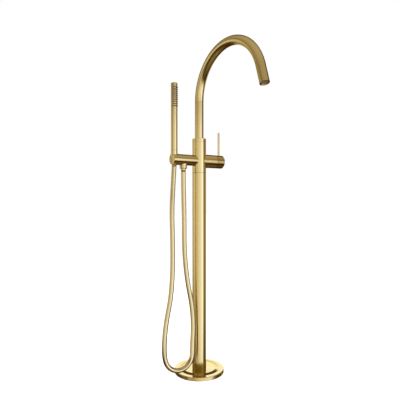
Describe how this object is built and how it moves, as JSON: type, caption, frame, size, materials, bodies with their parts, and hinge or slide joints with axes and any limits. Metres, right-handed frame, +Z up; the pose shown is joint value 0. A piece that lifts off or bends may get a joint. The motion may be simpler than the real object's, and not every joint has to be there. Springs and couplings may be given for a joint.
{
  "type": "floor standing bath filler",
  "caption": "Floor standing bath filler: round column on a floor plate, swivelling gooseneck spout, single lever mixer and a stick handset with its hose on a holder arm.",
  "frame": {"origin": "on the floor, at the axis of the column", "axes": "+Z up along the column, -Y along the spout towards the tub, +X towards the lever and -X towards the handset"},
  "size_m": [0.2411, 0.4019, 1.0463],
  "materials": {
    "brushed_gold": "brushed satin gold, fine horizontal brushing",
    "gold_hose": "smooth satin gold hose",
    "bare_brass": "machined brass",
    "copper_pipe": "drawn copper pipe",
    "flange_steel": "plain stainless steel",
    "screw_steel": "dark steel grub screw",
    "seal_rubber": "matt black rubber",
    "dark_ring": "matt black plastic",
    "cartridge_plastic": "white moulded plastic",
    "bush_plastic": "natural acetal",
    "liner_plastic": "dark nylon",
    "nozzle_silicone": "matt gold-brown silicone",
    "inner_plastic": "grey moulded plastic",
    "aerator_plastic": "dark moulded plastic"
  },
  "bodies": {
    "root": {"floor_base": "flange_steel", "column_hub": "flange_steel", "column_grub_screws": "screw_steel", "floor_cover": "brushed_gold", "cover_seal": "seal_rubber", "column_tube": "brushed_gold", "neck_grub_screw": "screw_steel", "hot_pipe": "copper_pipe", "hot_tail_nut": "bare_brass", "cold_pipe": "copper_pipe", "cold_tail_nut": "bare_brass", "mixer_body": "brushed_gold", "cartridge": "cartridge_plastic", "cartridge_retainer": "bare_brass", "trim_ring": "dark_ring", "diverter_bonnet": "brushed_gold", "spout_ring": "brushed_gold", "spout_bush": "bush_plastic", "holder_arm": "brushed_gold", "holder_liner": "liner_plastic", "outlet_nipple": "bare_brass", "check_valve": "cartridge_plastic", "hose_nut": "brushed_gold", "outlet_washer": "seal_rubber", "hose_tail": "brushed_gold", "shower_hose": "gold_hose"},
    "spout": {"spout_stub": "bare_brass", "spout_orings": "seal_rubber", "spout_tube": "brushed_gold", "aerator_housing": "brushed_gold", "aerator_insert": "aerator_plastic"},
    "lever": {"mixer_knob": "brushed_gold", "lever_pin": "brushed_gold", "knob_grub_screw": "screw_steel", "cartridge_stem": "bare_brass"},
    "diverter": {"diverter_spool": "bare_brass", "diverter_knob": "brushed_gold"},
    "hose_end": {"cone_tail": "bare_brass", "cone_washer": "seal_rubber"},
    "handset": {"cone_nut": "brushed_gold", "handset_body": "brushed_gold", "handset_cap": "brushed_gold", "handset_inlet": "bare_brass", "handset_waterway": "inner_plastic", "nozzle_mat": "nozzle_silicone"}
  },
  "joints": [
    {"name": "spout_swivel", "type": "hinge", "parent": "root", "child": "spout", "pos_m": [0, 0, 0.74], "axis": [0, 0, 1], "range_deg": [-90, 90]},
    {"name": "lever_turn", "type": "hinge", "parent": "root", "child": "lever", "pos_m": [0.07, 0, 0.69], "axis": [1, 0, 0], "range_deg": [0, 100]},
    {"name": "diverter_pull", "type": "slide", "parent": "root", "child": "diverter", "axis": [0, 1, 0], "range_m": [0, 0.007], "stiffness_N_per_m": 150},
    {"name": "handset_lift", "type": "slide", "parent": "root", "child": "hose_end", "axis": [0, 0, 1], "range_m": [0, 0.06]},
    {"name": "handset_turn", "type": "hinge", "parent": "hose_end", "child": "handset", "pos_m": [-0.0955, 0, 0.7], "axis": [0, 0, 1], "continuous": true}
  ]
}
